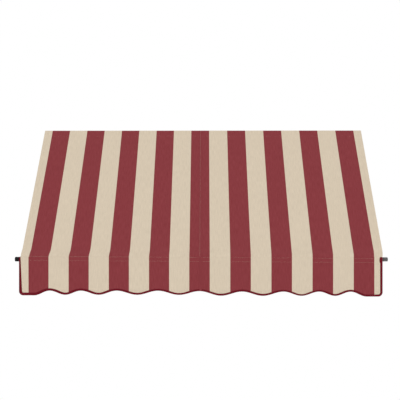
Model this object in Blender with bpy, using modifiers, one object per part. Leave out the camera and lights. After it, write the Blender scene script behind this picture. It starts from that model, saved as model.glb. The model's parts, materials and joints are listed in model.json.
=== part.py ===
"""Window awning: a striped canvas cover on a folding steel frame.

Metres, +X to the right, +Y into the wall, +Z up. The wall is the plane y = 0, and the origin is
the middle of the centre head clip's back face, at the height of the head rod's axis.
"""

import math

import bmesh
import bpy
from mathutils import Vector

# Overall sizes
HEAD_STANDOFF = 0.030  # wall to the head rod's axis
PROJECTION = 0.6308  # wall to the front rod's axis
DROP = 0.8257  # head rod's axis down to the front rod's axis
COVER_WIDTH = 2.188
ROD_RADIUS = 0.0127
ROD_WALL = 0.0015
ROD_MARGIN = 0.004  # the front rod reaches this far past each side of the cover
HEAD_ROD_MARGIN = 0.015  # the head rod ends this far inside it

# Cloth
CLOTH = 0.0010
SEAM_FROM_HEAD = 0.045  # seam of the head pocket, down the slope
SEAM_ALLOWANCE = 0.010
SLEEVE_STITCH = 0.0145  # stitch lines above and below the front rod's axis
LIP = ((0.0626, 0.083), (0.039, 0.054), (0.012, 0.032), (0.0031, 0.0210))  # behind face, above rod
LEFT_STRIPE = 0.1212
RIGHT_STRIPE = 0.1236
CENTRE_STRIPE = (-0.0705, 0.0528)
LEAN_FROM = 0.016  # above the front rod's axis, where the slope starts to lean to the right
LEAN_FULL = 0.054
LEAN = (0.0050, 0.0085)  # share of the distance from the middle, at the front rod and the head

# Valance
VALANCE_MARGIN = 0.0012  # past each side of the cover
VALANCE_RIGHT_IN = 0.0048  # the right side was bound this much further in
VALANCE_TOP = 0.0150  # above the front rod's axis
HEM_LOW = 0.2147  # lobe bottoms, below the front rod's axis
HEM_CENTRE = -0.006  # where the middle crest is
HEM_WAVE = 0.0250  # crest above lobe bottom
HEM_STEP = 0.0050  # the right cloth width hangs this much lower
END_LOBE_DROP = 0.0040
END_LOBE_HALF = 0.095
LOBES = (0.253, 0.250, 0.215, 0.188)  # crest to crest, from the middle outwards
CORNER_RADIUS = 0.025
TAPE = 0.0006
TAPE_WIDTH = 0.0110

# Arms
ARM_RADIUS = 0.0095
ARM_WALL = 0.0015
PIN_STANDOFF = 0.045  # wall to the arm's hinge pin
PIN_RADIUS = 0.0040
PIN_HEAD_RADIUS = 0.0070
PIN_HEAD = 0.0030
PIN_TAIL = 0.0040
PIN_HEAD_BEVEL = 0.0010
PIN_TIP_BEVEL = 0.0005
TONGUE = 0.0080
TONGUE_RADIUS = 0.0110
REAR_NECK = 0.032  # hinge pin to the arm tube's end
REAR_SHOULDER = 0.0256  # hinge pin to where the rear eye is as thick as the tube
REAR_TIP_RADIUS = 0.0048
FRONT_NECK = 0.026  # front rod's axis to the arm tube's end
PLUG_LENGTH = 0.038
BOSS_WIDTH = 0.025
BOSS_RADIUS = 0.0138
BOSS_CHAMFER = 0.0010
BOSS_WALL_CUT = 0.0025  # how far the front plug goes into the boss's wall
SCREW_FROM_END = 0.018
ARM_SCREW_RADIUS = 0.0022
ARM_SCREW_LENGTH = 0.0060
ARM_SCREW_HEAD = 0.0022
ARM_SCREW_HEAD_RADIUS = 0.0042

# Front rod ends
JOURNAL_RADIUS = 0.0070
SPIGOT_LENGTH = 0.040
COUNTERBORE_DEPTH = 0.0055
COUNTERBORE_RADIUS = 0.0104
WASHER_RADIUS = 0.0095
WASHER = 0.0015
END_SCREW_RADIUS = 0.0027
END_SCREW_LENGTH = 0.0150
END_SCREW_HEAD_RADIUS = 0.0060
END_SCREW_HEAD = 0.0028
DOME = (0.7, 0.4)  # a screw head's flat top and straight rim, as shares of radius and height

# Wall fittings
BRACKET_WIDTH = 0.050
BRACKET_HEIGHT = 0.100
BRACKET_PLATE = 0.0040
BRACKET_CORNER = 0.008
BRACKET_HOLE_SPACING = 0.070
EAR = 0.0040
EAR_RADIUS = 0.0130
EAR_ARC = (110.0, 250.0)  # the round end of an ear, in degrees
EAR_ROOT = 0.056  # height of an ear where it leaves the plate
CLIP_SPACING = 0.900
CLIP_WIDTH = 0.030
CLIP_TOP = 0.011  # above the head rod's axis, hidden by the cover
CLIP_BOTTOM = 0.056  # below the head rod's axis
CLIP_HOLES = (0.027, 0.046)  # below the head rod's axis
CLIP_PLATE = 0.0030
CLIP_SADDLE = 0.0030
CLIP_WEB = 0.012
CLIP_CORNER = 0.006
SADDLE_ANGLES = (-125.0, 48.0)  # from straight back, positive upwards
SCREW_HOLE_RADIUS = 0.0030
SET_SCREW_RADIUS = 0.0025
SET_SCREW_LENGTH = 0.0080
NOTCH_MARGIN = 0.006  # head pocket cut-out, past a clip's sides
RING_RADIUS = 0.0070
RING = 0.0010
RING_GROOVE_RADIUS = 0.0030
RING_MOUTH = 50.0  # degrees open
PLUG_HEAD = 0.0030
HEAD_PLUG_LENGTH = 0.018

# Fits and facets
GAP = 0.0003
ROUND_STEPS = 24
SMALL_STEPS = 16
ARC_STEP = 13.0  # degrees between cloth folds' points
LOBE_STEPS = 12
MERGE = 0.00001

# Derived places
ROD_LENGTH = COVER_WIDTH + 2 * ROD_MARGIN
HEAD_ROD_LENGTH = COVER_WIDTH - 2 * HEAD_ROD_MARGIN
VALANCE_WIDTH = COVER_WIDTH + 2 * VALANCE_MARGIN
FRONT_AXIS = (-PROJECTION, -DROP)  # y, z
HEAD_AXIS = (-HEAD_STANDOFF, 0.0)
SLEEVE_RADIUS = ROD_RADIUS + GAP + CLOTH / 2
VALANCE_BACK = -PROJECTION - SLEEVE_RADIUS - CLOTH / 2 - TAPE - 2 * GAP
VALANCE_FACE = VALANCE_BACK - CLOTH
BOSS_INNER = ROD_LENGTH / 2 + 2 * GAP
ARM_X = BOSS_INNER + BOSS_WIDTH / 2
PLUG_RADIUS = ARM_RADIUS - ARM_WALL - GAP
SIDES = (("left", -1), ("right", 1))


def new_collection(name):
    """An empty collection of that name in the scene."""
    collection = bpy.data.collections.new(name)
    bpy.context.scene.collection.children.link(collection)
    return collection


def material(name, colour, roughness, metallic=0.0):
    """A Principled BSDF material."""
    made = bpy.data.materials.new(name)
    made.use_nodes = True
    shader = made.node_tree.nodes["Principled BSDF"]
    shader.inputs["Base Color"].default_value = (*colour, 1.0)
    shader.inputs["Roughness"].default_value = roughness
    shader.inputs["Metallic"].default_value = metallic
    return made


for old in list(bpy.data.objects):
    bpy.data.objects.remove(old)

PARTS = new_collection("window_awning")
CUTTERS = new_collection("cutters")

CREAM = material("cream_canvas", (0.67, 0.57, 0.43), 0.85)
BURGUNDY = material("burgundy_canvas", (0.24, 0.04, 0.045), 0.85)
BINDING = material("burgundy_tape", (0.12, 0.010, 0.018), 0.70)
BLACK_PAINT = material("black_paint", (0.020, 0.019, 0.020), 0.35)
ZINC = material("zinc_plate", (0.62, 0.62, 0.60), 0.35, 1.0)
BLACK_PLASTIC = material("black_plastic", (0.025, 0.025, 0.027), 0.50)


def pivot(name, at, parent=None):
    """An empty on a joint's axis."""
    empty = bpy.data.objects.new(name, None)
    PARTS.objects.link(empty)
    empty.parent = parent
    empty.location = Vector(at) - world_place(parent)
    return empty


def world_place(obj):
    """Where an unrotated object, or nothing, lies in the world."""
    place = Vector((0.0, 0.0, 0.0))
    while obj is not None:
        place += obj.location
        obj = obj.parent
    return place


def add(name, mesh, at=(0, 0, 0), turn=(0, 0, 0), finish=None, parent=None, collection=None):
    """An object with that mesh, placed in world coordinates under its parent."""
    obj = bpy.data.objects.new(name, mesh)
    (collection or PARTS).objects.link(obj)
    obj.parent = parent
    obj.location = Vector(at) - world_place(parent)
    obj.rotation_euler = [math.radians(angle) for angle in turn]
    if finish is not None:
        mesh.materials.append(finish)
    if collection is CUTTERS:
        obj.hide_render = True
        obj.display_type = "WIRE"
    return obj


def frozen(obj):
    """The mesh of an object with its modifiers, in its own axes, welded."""
    bpy.context.view_layer.update()
    evaluated = obj.evaluated_get(bpy.context.evaluated_depsgraph_get())
    mesh = bpy.data.meshes.new_from_object(evaluated)
    bm = bmesh.new()
    bm.from_mesh(mesh)
    bmesh.ops.remove_doubles(bm, verts=bm.verts, dist=MERGE)
    bm.to_mesh(mesh)
    bm.free()
    return mesh


def shade_round(obj):
    """Freeze the modifiers and shade smooth, with its edges kept sharp."""
    mesh = frozen(obj)
    obj.modifiers.clear()
    obj.data = mesh
    mesh.shade_smooth()
    mesh.set_sharp_from_angle(angle=math.radians(35))
    return obj


def turned_mesh(name, profile, closed=False, steps=ROUND_STEPS):
    """A profile of (radius, height) points, top to bottom, turned about Z."""
    mesh = bpy.data.meshes.new(name)
    bm = bmesh.new()
    points = [bm.verts.new((radius, 0.0, height)) for radius, height in profile]
    for start, end in zip(points, points[1:]):
        bm.edges.new((start, end))
    if closed:
        bm.edges.new((points[-1], points[0]))
    bm.to_mesh(mesh)
    bm.free()
    temporary = bpy.data.objects.new(name + "_profile", mesh)
    CUTTERS.objects.link(temporary)
    screw = temporary.modifiers.new("Turn", "SCREW")
    screw.steps = steps
    screw.render_steps = steps
    screw.use_merge_vertices = True
    screw.merge_threshold = MERGE
    made = frozen(temporary)
    bpy.data.objects.remove(temporary)
    return made


def rod_mesh(name, radius, top, bottom):
    """A small solid cylinder about Z."""
    profile = [(0, top), (radius, top), (radius, bottom), (0, bottom)]
    return turned_mesh(name, profile, steps=SMALL_STEPS)


def tube_mesh(name, radius, wall, length):
    """An open-ended tube about Z, with its middle at the origin."""
    inner = radius - wall
    half = length / 2
    profile = [(radius, half), (radius, -half), (inner, -half), (inner, half)]
    return turned_mesh(name, profile, closed=True)


def plate_mesh(name, loops, thickness):
    """Flat outlines in XY, the first solid and the rest holes, thickened along Z."""
    curve = bpy.data.curves.new(name, "CURVE")
    curve.dimensions = "2D"
    curve.fill_mode = "BOTH"
    curve.extrude = thickness / 2
    for loop in loops:
        spline = curve.splines.new("POLY")
        spline.points.add(len(loop) - 1)
        for point, (x, y) in zip(spline.points, loop):
            point.co = (x, y, 0.0, 1.0)
        spline.use_cyclic_u = True
    temporary = bpy.data.objects.new(name + "_outline", curve)
    CUTTERS.objects.link(temporary)
    made = frozen(temporary)
    bpy.data.objects.remove(temporary)
    return made


def box_mesh(name, low, high):
    """A box between two corners."""
    mesh = bpy.data.meshes.new(name)
    bm = bmesh.new()
    bmesh.ops.create_cube(bm, size=1.0)
    size = Vector(high) - Vector(low)
    bmesh.ops.scale(bm, vec=size, verts=bm.verts)
    bmesh.ops.translate(bm, vec=Vector(low) + size / 2, verts=bm.verts)
    bm.to_mesh(mesh)
    bm.free()
    return mesh


def combine(obj, tool, operation="DIFFERENCE"):
    """A Boolean modifier on a piece."""
    modifier = obj.modifiers.new(operation.title(), "BOOLEAN")
    modifier.operation = operation
    modifier.solver = "EXACT"
    modifier.object = tool


def arc(centre, radius, start, end, step=15.0):
    """Points of an arc between two angles in degrees, both ends included."""
    count = max(2, round(abs(end - start) / step))
    angles = [math.radians(start + (end - start) * i / count) for i in range(count + 1)]
    return [(centre[0] + radius * math.cos(a), centre[1] + radius * math.sin(a)) for a in angles]


def circle(centre, radius, count=ROUND_STEPS):
    """A closed round outline."""
    return arc(centre, radius, 0.0, 360.0, 360.0 / count)[:-1]


def rounded_rectangle(width, height, radius):
    """A closed outline about the origin with round corners."""
    points = []
    for corner, (sx, sy) in enumerate(((1, 1), (-1, 1), (-1, -1), (1, -1))):
        centre = (sx * (width / 2 - radius), sy * (height / 2 - radius))
        points += arc(centre, radius, 90.0 * corner, 90.0 * corner + 90.0, 30.0)
    return points


def tangent_angle(centre, radius, point, side):
    """Angle, in degrees, at which a line from a point touches a circle."""
    dy, dz = point[0] - centre[0], point[1] - centre[1]
    return math.degrees(math.atan2(dz, dy) + side * math.acos(radius / math.hypot(dy, dz)))


def stripe_edges(half):
    """Where the colour changes across the cloth, from left to right."""
    left = []
    x = CENTRE_STRIPE[0]
    while x > -half:
        left.append(x)
        x -= LEFT_STRIPE
    right = []
    x = CENTRE_STRIPE[1]
    while x < half:
        right.append(x)
        x += RIGHT_STRIPE
    return left[::-1] + right


def colour_stripes(mesh, half):
    """Give each face the colour of the stripe that it lies in: the centre one is burgundy."""
    edges = stripe_edges(half)
    centre = edges.index(CENTRE_STRIPE[0])
    for face in mesh.polygons:
        stripe = sum(1 for edge in edges if edge < face.center.x) - 1
        face.material_index = (stripe - centre) % 2


def slope_angles():
    """The first lip point, and where the cover leaves the head rod, in degrees."""
    first = lip_points()[0]
    turn = tangent_angle(HEAD_AXIS, SLEEVE_RADIUS, first, -1) % 360.0
    return first, turn


def lip_points():
    """The stretch of the cover just above the front rod, as (y, z)."""
    return [(VALANCE_FACE + behind, FRONT_AXIS[1] + above) for behind, above in LIP]


def cover_path():
    """The cover's section as (y, z) points: head pocket, slope, lip and rod sleeve."""
    first, leave = slope_angles()
    away = math.radians(leave)
    normal = (math.cos(away), math.sin(away))
    along = (-normal[1], normal[0])
    layer = CLOTH + GAP

    def under_slope(distance):
        start = SLEEVE_RADIUS - layer
        return (
            HEAD_AXIS[0] + normal[0] * start + along[0] * distance,
            HEAD_AXIS[1] + normal[1] * start + along[1] * distance,
        )

    seam = under_slope(SEAM_FROM_HEAD)
    tail = under_slope(SEAM_FROM_HEAD + SEAM_ALLOWANCE)
    meet = tangent_angle(HEAD_AXIS, SLEEVE_RADIUS, seam, 1)
    while meet > leave:
        meet -= 360.0
    pocket = arc(HEAD_AXIS, SLEEVE_RADIUS, meet, leave, ARC_STEP)

    front_y = FRONT_AXIS[0] - SLEEVE_RADIUS
    top = (front_y, FRONT_AXIS[1] + SLEEVE_STITCH)
    bottom = (front_y, FRONT_AXIS[1] - SLEEVE_STITCH)
    over = tangent_angle(FRONT_AXIS, SLEEVE_RADIUS, top, -1)
    under = tangent_angle(FRONT_AXIS, SLEEVE_RADIUS, bottom, 1)
    sleeve = arc(FRONT_AXIS, SLEEVE_RADIUS, over, under, ARC_STEP)
    end = (front_y, bottom[1] - SEAM_ALLOWANCE)
    return [tail, seam] + pocket + lip_points() + [top] + sleeve + [bottom, end]


def leaned(x, z):
    """Where a place across the cover comes: above the front rod it was sewn out of square."""
    above = z - FRONT_AXIS[1]
    start = min(1.0, max(0.0, (above - LEAN_FROM) / (LEAN_FULL - LEAN_FROM)))
    height = min(1.0, max(0.0, above / DROP))
    return x + abs(x) * start * (LEAN[0] + (LEAN[1] - LEAN[0]) * height)


def make_cover():
    """The canvas cover: one folded sheet with stripes, cut away round each head clip."""
    path = cover_path()
    half = COVER_WIDTH / 2
    columns = [-half] + stripe_edges(half) + [half]
    rows = len(path) - 1
    mesh = bpy.data.meshes.new("cover")
    bm = bmesh.new()
    bmesh.ops.create_grid(bm, x_segments=len(columns) - 1, y_segments=rows, size=1.0)
    for vertex in bm.verts:
        column = round((vertex.co.x + 1) / 2 * (len(columns) - 1))
        row = round((vertex.co.y + 1) / 2 * rows)
        y, z = path[row]
        vertex.co = (leaned(columns[column], z), y, z)
    bm.to_mesh(mesh)
    bm.free()
    mesh.materials.append(BURGUNDY)
    mesh.materials.append(CREAM)
    colour_stripes(mesh, half)
    cover = add("cover", mesh)
    thicken = cover.modifiers.new("Thickness", "SOLIDIFY")
    thicken.thickness = CLOTH
    thicken.offset = 0.0
    thicken.use_even_offset = True
    for x in clip_places():
        reach = CLIP_WIDTH / 2 + NOTCH_MARGIN
        low = (x - reach, -HEAD_STANDOFF - ROD_RADIUS / 2, -CLIP_BOTTOM)
        saddle_tip = (SLEEVE_RADIUS + CLOTH / 2) * math.sin(math.radians(SADDLE_ANGLES[1]))
        high = (x + reach, 0.0, saddle_tip + 2 * GAP)
        cutter = add(f"notch_{x:.2f}", box_mesh("notch", low, high), collection=CUTTERS)
        combine(cover, cutter)
    return cover


def lobe_crests():
    """The hem's crests from the middle outwards, as far as the valance has room for them."""
    room = VALANCE_WIDTH / 2 - CORNER_RADIUS - abs(HEM_CENTRE) - END_LOBE_HALF
    crests = [0.0]
    for lobe in LOBES:
        if crests[-1] + lobe > room:
            break
        crests.append(crests[-1] + lobe)
    return crests


def hem_height(x):
    """The valance's lower edge, below the front rod's axis, at a place along it."""
    place = x - HEM_CENTRE
    blend = min(1.0, max(0.0, place / LOBES[0] + 0.5))
    level = -HEM_LOW - HEM_STEP * (blend * blend * (3.0 - 2.0 * blend) - 0.5)
    place = abs(place)
    crests = lobe_crests()
    for crest, following in zip(crests, crests[1:]):
        if place <= following:
            turn = (place - crest) / (following - crest)
            return level + HEM_WAVE * (1.0 + math.cos(2.0 * math.pi * turn)) / 2
    turn = min(1.0, (place - crests[-1]) / END_LOBE_HALF)
    drop = HEM_WAVE + END_LOBE_DROP
    return level - END_LOBE_DROP + drop * (1.0 + math.cos(math.pi * turn)) / 2


def hem_places():
    """Places along the hem from side to side, closer together than the lobes bend."""
    reach = VALANCE_WIDTH / 2 - CORNER_RADIUS
    crests = lobe_crests()
    places = []
    for crest, following in zip(crests, crests[1:]):
        step = (following - crest) / LOBE_STEPS
        places += [crest + step * i for i in range(1, LOBE_STEPS + 1)]
    steps = LOBE_STEPS // 2
    places += [crests[-1] + END_LOBE_HALF * i / steps for i in range(1, steps + 1)]
    left = [HEM_CENTRE - x for x in places[::-1]]
    right = [HEM_CENTRE + x for x in places]
    return [-reach] + left + [HEM_CENTRE] + right + [reach]


def valance_edge():
    """The bound edge, down the left side, along the hem and up the right side, as (x, z)."""
    left = -VALANCE_WIDTH / 2
    right = VALANCE_WIDTH / 2 - VALANCE_RIGHT_IN
    left_turn = left + CORNER_RADIUS
    right_turn = right - CORNER_RADIUS
    left_corner = (left_turn, hem_height(left_turn) + CORNER_RADIUS)
    right_corner = (right_turn, hem_height(right_turn) + CORNER_RADIUS)
    points = [(left, VALANCE_TOP)]
    points += arc(left_corner, CORNER_RADIUS, 180.0, 270.0)
    points += [(x, hem_height(x)) for x in hem_places()[1:-1]]
    points += arc(right_corner, CORNER_RADIUS, 270.0, 360.0)
    points.append((right, VALANCE_TOP))
    return points


def offset_edge(points, distance):
    """The valance's edge moved outwards, or inwards if negative, at right angles to itself."""
    moved = []
    for i, (x, z) in enumerate(points):
        before = points[max(i - 1, 0)]
        after = points[min(i + 1, len(points) - 1)]
        along = Vector((after[0] - before[0], after[1] - before[1])).normalized()
        moved.append((x + along.y * distance, z - along.x * distance))
    return moved


def cut_stripes(mesh, half):
    """Cut a flat mesh where the stripes meet, so that each has faces of its own."""
    bm = bmesh.new()
    bm.from_mesh(mesh)
    for x in stripe_edges(half):
        everything = bm.verts[:] + bm.edges[:] + bm.faces[:]
        bmesh.ops.bisect_plane(bm, geom=everything, plane_co=(x, 0, 0), plane_no=(1, 0, 0))
    bm.to_mesh(mesh)
    bm.free()


def make_valance(parent):
    """The valance strip with its lobed hem, and the tape folded over its edge."""
    edge = valance_edge()
    half = VALANCE_WIDTH / 2
    place = (0.0, (VALANCE_FACE + VALANCE_BACK) / 2, FRONT_AXIS[1])
    mesh = plate_mesh("valance", [edge], CLOTH)
    cut_stripes(mesh, half)
    mesh.materials.append(BURGUNDY)
    mesh.materials.append(CREAM)
    colour_stripes(mesh, half)
    add("valance", mesh, place, (90, 0, 0), parent=parent)

    outer = offset_edge(edge, GAP + TAPE)
    inner = offset_edge(edge, -TAPE_WIDTH)
    band = plate_mesh("valance_binding", [outer + inner[::-1]], CLOTH + 2 * (GAP + TAPE))
    binding = add("valance_binding", band, place, (90, 0, 0), BINDING, parent)
    slot_outer = offset_edge(edge, GAP)
    slot_inner = offset_edge(edge, -2 * TAPE_WIDTH)
    above = 2 * TAPE_WIDTH
    ends = [slot_outer[-1], slot_inner[-1], slot_inner[0], slot_outer[0]]
    raised = [(x, z + above) for x, z in ends]
    slot_loop = slot_outer + raised[:2] + slot_inner[::-1] + raised[2:]
    slot = plate_mesh("binding_slot", [slot_loop], CLOTH + 2 * GAP)
    combine(binding, add("binding_slot", slot, place, (90, 0, 0), collection=CUTTERS))


def make_head_rod():
    """The head rod with a plastic plug in each end."""
    rod = tube_mesh("head_rod", ROD_RADIUS, ROD_WALL, HEAD_ROD_LENGTH)
    shade_round(add("head_rod", rod, (0.0, *HEAD_AXIS), (0, 90, 0), BLACK_PAINT))
    inside = ROD_RADIUS - ROD_WALL - GAP
    rim = ROD_RADIUS - GAP
    for side, sign in SIDES:
        top = GAP + PLUG_HEAD
        profile = [
            (0, top),
            (rim - PLUG_HEAD / 2, top),
            (rim, GAP + PLUG_HEAD / 2),
            (rim, GAP),
            (inside, GAP),
            (inside, -HEAD_PLUG_LENGTH),
            (0, -HEAD_PLUG_LENGTH),
        ]
        place = (sign * HEAD_ROD_LENGTH / 2, *HEAD_AXIS)
        mesh = turned_mesh("head_plug", profile)
        shade_round(add(f"head_rod_plug_{side}", mesh, place, (0, 90 * sign, 0), BLACK_PLASTIC))


def clip_places():
    """Where the three head clips stand."""
    return (-CLIP_SPACING, 0.0, CLIP_SPACING)


def make_head_clips():
    """Clips that hold the head rod off the wall, each a plate, a web and a saddle."""
    inner = ROD_RADIUS + GAP
    outer = inner + CLIP_SADDLE
    start, end = SADDLE_ANGLES
    saddle_outline = arc((0, 0), outer, start, end) + arc((0, 0), inner, end, start)
    height = CLIP_TOP + CLIP_BOTTOM
    middle = (CLIP_TOP - CLIP_BOTTOM) / 2
    holes = [circle((0, -below - middle), SCREW_HOLE_RADIUS, SMALL_STEPS) for below in CLIP_HOLES]
    back = [rounded_rectangle(CLIP_WIDTH, height, CLIP_CORNER)] + holes
    for x, side in zip(clip_places(), ("left", "centre", "right")):
        plate = plate_mesh("clip_plate", back, CLIP_PLATE)
        place = (x, -CLIP_PLATE / 2, middle)
        clip = add(f"head_clip_{side}", plate, place, (90, 0, 0), BLACK_PAINT)
        saddle = add(
            f"clip_saddle_{side}",
            plate_mesh("clip_saddle", [saddle_outline], CLIP_WIDTH),
            (x, *HEAD_AXIS),
            (90, 0, 90),
            collection=CUTTERS,
        )
        low = (x - CLIP_WIDTH / 2, -HEAD_STANDOFF + inner + GAP, -CLIP_WEB / 2)
        high = (x + CLIP_WIDTH / 2, -CLIP_PLATE / 2, CLIP_WEB / 2)
        web = add(f"clip_web_{side}", box_mesh("clip_web", low, high), collection=CUTTERS)
        place = (x, -HEAD_STANDOFF, -ROD_RADIUS - GAP - SET_SCREW_LENGTH / 2)
        hole_radius = SET_SCREW_RADIUS + GAP
        hole_mesh = rod_mesh("set_screw_hole", hole_radius, SET_SCREW_LENGTH, -SET_SCREW_LENGTH)
        hole = add(f"set_screw_hole_{side}", hole_mesh, place, collection=CUTTERS)
        combine(clip, saddle, "UNION")
        combine(clip, web, "UNION")
        combine(clip, hole)
        shade_round(clip)
        half = SET_SCREW_LENGTH / 2
        screw = rod_mesh("set_screw", SET_SCREW_RADIUS, half, -half)
        shade_round(add(f"set_screw_{side}", screw, place, finish=ZINC))


def make_wall_bracket(side, sign):
    """The clevis on the wall, its hinge pin and the ring that keeps the pin in."""
    x = sign * ARM_X
    z = FRONT_AXIS[1]
    gap_half = TONGUE / 2 + GAP
    holes = [
        circle((0, way * BRACKET_HOLE_SPACING / 2), SCREW_HOLE_RADIUS, SMALL_STEPS)
        for way in (1, -1)
    ]
    outline = [rounded_rectangle(BRACKET_WIDTH, BRACKET_HEIGHT, BRACKET_CORNER)] + holes
    plate = plate_mesh("bracket_plate", outline, BRACKET_PLATE)
    bracket = add(
        f"wall_bracket_{side}", plate, (x, -BRACKET_PLATE / 2, z), (90, 0, 0), BLACK_PAINT
    )
    root_y = -BRACKET_PLATE / 2
    ear_outline = arc((-PIN_STANDOFF, 0.0), EAR_RADIUS, *EAR_ARC, 20.0)
    ear_outline += [(root_y, -EAR_ROOT / 2), (root_y, EAR_ROOT / 2)]
    pin_hole = circle((-PIN_STANDOFF, 0.0), PIN_RADIUS + GAP, SMALL_STEPS)
    for way in (-1, 1):
        ear = add(
            f"ear_{side}_{way}",
            plate_mesh("ear", [ear_outline, pin_hole], EAR),
            (x + way * (gap_half + EAR / 2), 0.0, z),
            (90, 0, 90),
            collection=CUTTERS,
        )
        combine(bracket, ear, "UNION")
    shade_round(bracket)

    reach = gap_half + EAR + GAP
    tail = -reach - 2 * GAP - RING - PIN_TAIL / 2
    groove = RING_GROOVE_RADIUS
    profile = [
        (0, reach + PIN_HEAD),
        (PIN_HEAD_RADIUS - PIN_HEAD_BEVEL, reach + PIN_HEAD),
        (PIN_HEAD_RADIUS, reach + PIN_HEAD - PIN_HEAD_BEVEL),
        (PIN_HEAD_RADIUS, reach),
        (PIN_RADIUS, reach),
        (PIN_RADIUS, -reach),
        (groove, -reach),
        (groove, -reach - 2 * GAP - RING),
        (PIN_RADIUS, -reach - 2 * GAP - RING),
        (PIN_RADIUS, tail + PIN_TIP_BEVEL),
        (PIN_RADIUS - PIN_TIP_BEVEL, tail),
        (0, tail),
    ]
    place = (x, -PIN_STANDOFF, z)
    pin = turned_mesh("wall_pin", profile, steps=SMALL_STEPS)
    shade_round(add(f"wall_pin_{side}", pin, place, (0, 90 * sign, 0), ZINC))
    mouth = RING_MOUTH / 2
    ring = arc((0, 0), RING_RADIUS, mouth, 360.0 - mouth)
    ring += arc((0, 0), groove + GAP, 360.0 - mouth, mouth)
    ring_place = (x - sign * (reach + GAP + RING / 2), -PIN_STANDOFF, z)
    add(f"pin_ring_{side}", plate_mesh("pin_ring", [ring], RING), ring_place, (90, 0, 90), ZINC)


def make_arm(side, sign, parent):
    """One arm: a tube with an eye in each end, and the screws that hold them."""
    x = sign * ARM_X
    z = FRONT_AXIS[1]
    rear_end = -PIN_STANDOFF - REAR_NECK
    front_end = FRONT_AXIS[0] + FRONT_NECK
    middle = (x, (rear_end + front_end) / 2, z)
    tube = tube_mesh("arm_tube", ARM_RADIUS, ARM_WALL, rear_end - front_end)
    tube_obj = add(f"{side}_arm_tube", tube, middle, (90, 0, 0), BLACK_PAINT, parent)

    rear_outline = arc((0.0, 0.0), TONGUE_RADIUS, -90.0, 90.0, 15.0)
    rear_outline += [(-REAR_NECK / 2, TONGUE_RADIUS), (-REAR_NECK + GAP, ARM_RADIUS)]
    rear_outline += [(-REAR_NECK + GAP, -ARM_RADIUS), (-REAR_NECK / 2, -TONGUE_RADIUS)]
    hole = circle((0.0, 0.0), PIN_RADIUS + GAP, SMALL_STEPS)
    tongue = plate_mesh("tongue", [rear_outline, hole], TONGUE)
    rear = add(f"{side}_arm_rear_eye", tongue, (x, -PIN_STANDOFF, z), (90, 0, 90), BLACK_PAINT,
               parent)
    profile = [
        (0, REAR_NECK / 2),
        (REAR_TIP_RADIUS, REAR_NECK / 2),
        (ARM_RADIUS, REAR_SHOULDER),
        (ARM_RADIUS, REAR_NECK - GAP),
        (PLUG_RADIUS, REAR_NECK - GAP),
        (PLUG_RADIUS, REAR_NECK + PLUG_LENGTH),
        (0, REAR_NECK + PLUG_LENGTH),
    ]
    rear_plug = turned_mesh("rear_plug", [(r, -h) for r, h in profile])
    tool = add(f"{side}_rear_plug", rear_plug, (x, -PIN_STANDOFF, z), (-90, 0, 0),
               collection=CUTTERS)
    combine(rear, tool, "UNION")

    half_boss = BOSS_WIDTH / 2
    bore = JOURNAL_RADIUS + GAP
    shelf = half_boss - COUNTERBORE_DEPTH
    boss_profile = [
        (BOSS_RADIUS - BOSS_CHAMFER, half_boss),
        (BOSS_RADIUS, half_boss - BOSS_CHAMFER),
        (BOSS_RADIUS, -half_boss + BOSS_CHAMFER),
        (BOSS_RADIUS - BOSS_CHAMFER, -half_boss),
        (bore, -half_boss),
        (bore, shelf),
        (COUNTERBORE_RADIUS, shelf),
        (COUNTERBORE_RADIUS, half_boss),
    ]
    boss = turned_mesh("front_boss", boss_profile, closed=True)
    front_place = (x, *FRONT_AXIS)
    front = add(f"{side}_arm_front_eye", boss, front_place, (0, 90 * sign, 0), BLACK_PAINT, parent)
    start = BOSS_RADIUS - BOSS_WALL_CUT
    front_profile = [
        (0, FRONT_NECK + PLUG_LENGTH),
        (PLUG_RADIUS, FRONT_NECK + PLUG_LENGTH),
        (PLUG_RADIUS, FRONT_NECK - GAP),
        (ARM_RADIUS, FRONT_NECK - GAP),
        (ARM_RADIUS, start),
        (0, start),
    ]
    front_plug = turned_mesh("front_plug", front_profile)
    tool = add(f"{side}_front_plug", front_plug, front_place, (-90, 0, 0), collection=CUTTERS)
    combine(front, tool, "UNION")

    screw_places = (("rear", rear_end - SCREW_FROM_END), ("front", front_end + SCREW_FROM_END))
    for end, y in screw_places:
        hole_mesh = rod_mesh("screw_hole", ARM_SCREW_RADIUS + GAP, 0.0, -2 * ARM_RADIUS)
        top = z - ARM_RADIUS + ARM_SCREW_LENGTH + GAP
        cutter = add(f"{side}_{end}_screw_hole", hole_mesh, (x, y, top), collection=CUTTERS)
        combine(tube_obj, cutter)
        combine(rear if end == "rear" else front, cutter)
        screw = turned_mesh("arm_screw", screw_profile(), steps=SMALL_STEPS)
        place = (x, y, z - ARM_RADIUS - GAP)
        shade_round(add(f"{side}_arm_{end}_screw", screw, place, finish=ZINC, parent=parent))
    for piece in (tube_obj, rear, front):
        shade_round(piece)


def screw_profile():
    """An arm's pan-head screw about Z, its shank up and its head below the origin."""
    return [
        (0, ARM_SCREW_LENGTH),
        (ARM_SCREW_RADIUS, ARM_SCREW_LENGTH),
        (ARM_SCREW_RADIUS, 0),
        (ARM_SCREW_HEAD_RADIUS, 0),
        (ARM_SCREW_HEAD_RADIUS, -ARM_SCREW_HEAD * DOME[1]),
        (ARM_SCREW_HEAD_RADIUS * DOME[0], -ARM_SCREW_HEAD),
        (0, -ARM_SCREW_HEAD),
    ]


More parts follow.
